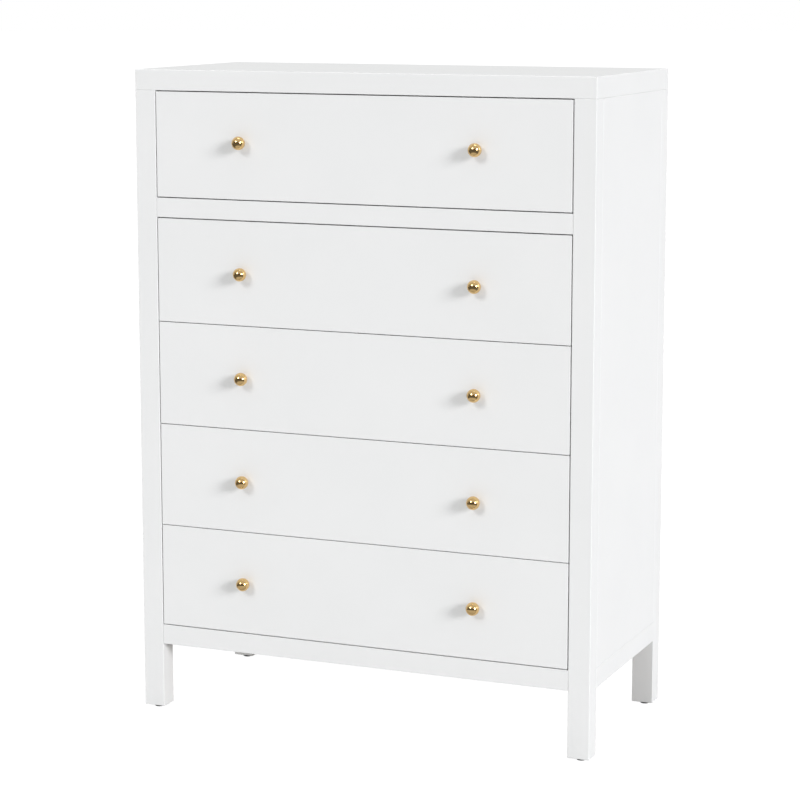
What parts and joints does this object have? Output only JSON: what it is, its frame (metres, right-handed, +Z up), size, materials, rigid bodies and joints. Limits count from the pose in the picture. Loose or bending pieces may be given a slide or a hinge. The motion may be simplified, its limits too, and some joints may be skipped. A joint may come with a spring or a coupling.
{
  "type": "tall chest of drawers",
  "caption": "Tall freestanding chest of inset drawers with ball knobs, on square posts that run down into legs; each drawer slides out on steel rails.",
  "frame": {"origin": "on the floor, at the centre of the chest's outline from above, knobs included", "axes": "+Z up, +X to the right as seen from the front, +Y towards the back; the drawers open towards -Y"},
  "size_m": [0.92, 0.4576, 1.25],
  "materials": {
    "white_lacquer": "satin white lacquer over wood",
    "box_wood": "clear matt lacquer over pale solid wood",
    "bottom_board": "matt veneered plywood",
    "back_board": "thin fibreboard, painted matt white",
    "knob_brass": "polished and lacquered",
    "slide_steel": "bright zinc plating over pressed steel",
    "glide_plastic": "moulded dark grey plastic"
  },
  "bodies": {
    "carcass": {"top_panel": "white_lacquer", "front_middle_rail": "white_lacquer", "front_bottom_rail": "white_lacquer", "rear_bottom_rail": "white_lacquer", "back_panel": "back_board", "front_left_post": "white_lacquer", "rear_left_post": "white_lacquer", "left_side_panel": "white_lacquer", "front_left_glide": "glide_plastic", "rear_left_glide": "glide_plastic", "front_right_post": "white_lacquer", "rear_right_post": "white_lacquer", "right_side_panel": "white_lacquer", "front_right_glide": "glide_plastic", "rear_right_glide": "glide_plastic", "drawer_1_left_rail": "slide_steel", "drawer_1_right_rail": "slide_steel", "drawer_2_left_rail": "slide_steel", "drawer_2_right_rail": "slide_steel", "drawer_3_left_rail": "slide_steel", "drawer_3_right_rail": "slide_steel", "drawer_4_left_rail": "slide_steel", "drawer_4_right_rail": "slide_steel", "drawer_5_left_rail": "slide_steel", "drawer_5_right_rail": "slide_steel"},
    "drawer_1": {"drawer_1_front": "white_lacquer", "drawer_1_left_side": "box_wood", "drawer_1_right_side": "box_wood", "drawer_1_back": "box_wood", "drawer_1_bottom": "bottom_board", "drawer_1_left_knob": "knob_brass", "drawer_1_right_knob": "knob_brass"},
    "drawer_2": {"drawer_2_front": "white_lacquer", "drawer_2_left_side": "box_wood", "drawer_2_right_side": "box_wood", "drawer_2_back": "box_wood", "drawer_2_bottom": "bottom_board", "drawer_2_left_knob": "knob_brass", "drawer_2_right_knob": "knob_brass"},
    "drawer_3": {"drawer_3_front": "white_lacquer", "drawer_3_left_side": "box_wood", "drawer_3_right_side": "box_wood", "drawer_3_back": "box_wood", "drawer_3_bottom": "bottom_board", "drawer_3_left_knob": "knob_brass", "drawer_3_right_knob": "knob_brass"},
    "drawer_4": {"drawer_4_front": "white_lacquer", "drawer_4_left_side": "box_wood", "drawer_4_right_side": "box_wood", "drawer_4_back": "box_wood", "drawer_4_bottom": "bottom_board", "drawer_4_left_knob": "knob_brass", "drawer_4_right_knob": "knob_brass"},
    "drawer_5": {"drawer_5_front": "white_lacquer", "drawer_5_left_side": "box_wood", "drawer_5_right_side": "box_wood", "drawer_5_back": "box_wood", "drawer_5_bottom": "bottom_board", "drawer_5_left_knob": "knob_brass", "drawer_5_right_knob": "knob_brass"}
  },
  "joints": [
    {"name": "drawer_1_slide", "type": "slide", "parent": "carcass", "child": "drawer_1", "axis": [0, -1, 0], "range_m": [0, 0.3]},
    {"name": "drawer_2_slide", "type": "slide", "parent": "carcass", "child": "drawer_2", "axis": [0, -1, 0], "range_m": [0, 0.3]},
    {"name": "drawer_3_slide", "type": "slide", "parent": "carcass", "child": "drawer_3", "axis": [0, -1, 0], "range_m": [0, 0.3]},
    {"name": "drawer_4_slide", "type": "slide", "parent": "carcass", "child": "drawer_4", "axis": [0, -1, 0], "range_m": [0, 0.3]},
    {"name": "drawer_5_slide", "type": "slide", "parent": "carcass", "child": "drawer_5", "axis": [0, -1, 0], "range_m": [0, 0.3]}
  ]
}
